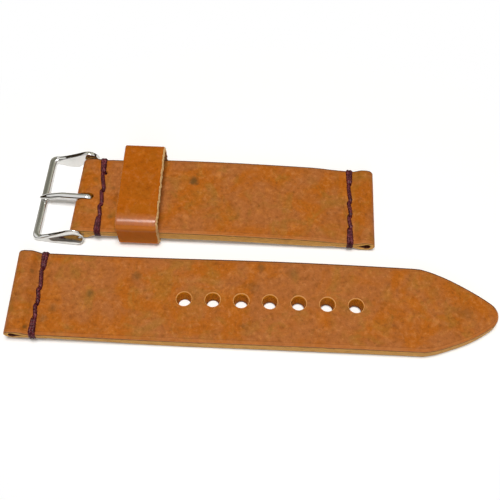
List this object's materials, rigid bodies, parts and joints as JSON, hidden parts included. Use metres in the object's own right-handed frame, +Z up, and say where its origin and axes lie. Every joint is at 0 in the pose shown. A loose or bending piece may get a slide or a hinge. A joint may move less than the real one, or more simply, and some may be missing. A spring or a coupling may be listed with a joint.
{
  "type": "watch strap",
  "caption": "Two-piece leather watch strap with pin buckle, sliding keeper, sewn lug tunnels and round adjustment holes, laid flat.",
  "frame": {"origin": "centre of the bounding box's bottom face, on the floor the strap lies on", "axes": "+X along both halves, towards the long half's point; +Y from the long half to the short half; +Z up"},
  "size_m": [0.12, 0.0532, 0.0104],
  "materials": {
    "leather": "waxed full-grain tan leather, mottled, raw tan edges",
    "keeper_leather": "thinner and smoother orange-tan leather",
    "thread": "waxed plum thread",
    "polished_steel": "polished stainless steel",
    "bar_steel": "plain turned stainless steel"
  },
  "bodies": {
    "short_half": {"short_strap": "leather", "buckle_thread": "thread", "lug_thread_short": "thread"},
    "long_half": {"long_strap": "leather", "lug_thread_long": "thread"},
    "keeper": {"keeper_loop": "keeper_leather", "keeper_seam_thread": "thread"},
    "buckle": {"buckle_frame": "polished_steel", "spring_bar_tube": "bar_steel", "spring_bar_spring": "bar_steel"},
    "tongue": {"buckle_tongue": "polished_steel"},
    "tip_near": {"spring_bar_tip_near": "bar_steel"},
    "tip_far": {"spring_bar_tip_far": "bar_steel"}
  },
  "joints": [
    {"name": "buckle_swing", "type": "hinge", "parent": "short_half", "child": "buckle", "pos_m": [-0.0453, 0.01356, 0.00235], "axis": [0.0384, 0.9993, 0], "range_deg": [-60, 10]},
    {"name": "tongue_swing", "type": "hinge", "parent": "buckle", "child": "tongue", "pos_m": [-0.0453, 0.01356, 0.00235], "axis": [0.0384, 0.9993, 0], "range_deg": [0, 55]},
    {"name": "keeper_slide", "type": "slide", "parent": "short_half", "child": "keeper", "axis": [0.9999, 0, -0.0105], "range_m": [-0.0044, 0.0469]},
    {"name": "tip_near_press", "type": "slide", "parent": "buckle", "child": "tip_near", "axis": [0.0384, 0.9993, 0], "range_m": [0, 0.0009], "stiffness_N_per_m": 400, "springref_m": -0.002, "deforming": ["spring_bar_spring"]},
    {"name": "tip_far_press", "type": "slide", "parent": "buckle", "child": "tip_far", "axis": [-0.0384, -0.9993, 0], "range_m": [0, 0.0009], "stiffness_N_per_m": 400, "springref_m": -0.002, "deforming": ["spring_bar_spring"]},
    {"name": "long_half_lift", "type": "slide", "parent": "short_half", "child": "long_half", "axis": [0, 0, 1], "range_m": [0, 0.06]}
  ]
}
